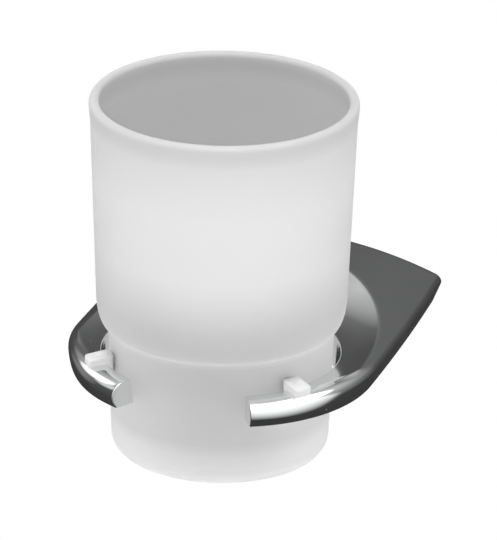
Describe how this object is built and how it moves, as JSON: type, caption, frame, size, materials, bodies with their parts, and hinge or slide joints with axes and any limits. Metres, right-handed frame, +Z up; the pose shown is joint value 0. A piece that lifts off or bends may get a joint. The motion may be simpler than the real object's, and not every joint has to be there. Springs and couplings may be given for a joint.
{
  "type": "tumbler holder",
  "caption": "Wall-mounted chrome tumbler holder: an arched block runs out into an open ring that carries a stepped frosted-glass tumbler on small plastic clips.",
  "frame": {"origin": "middle of the wall bracket's back face, on the wall", "axes": "+Z up, +Y into the wall, -Y towards the room, +X to the right as seen from the room"},
  "size_m": [0.088, 0.107, 0.1032],
  "materials": {
    "chrome": "polished chrome plate on a zinc casting",
    "clip_plastic": "moulded translucent white plastic",
    "frosted_glass": "acid-etched frosted glass",
    "bracket_steel": "zinc-plated steel",
    "screw_steel": "blackened steel"
  },
  "bodies": {
    "holder": {"holder_body": "chrome", "left_clip": "clip_plastic", "right_clip": "clip_plastic", "back_clip": "clip_plastic", "wall_bracket": "bracket_steel", "left_grub_screw": "screw_steel", "right_grub_screw": "screw_steel"},
    "glass": {"tumbler": "frosted_glass"}
  },
  "joints": [
    {"name": "tumbler_lift", "type": "slide", "parent": "holder", "child": "glass", "axis": [0, 0, 1], "range_m": [0, 0.06]}
  ]
}
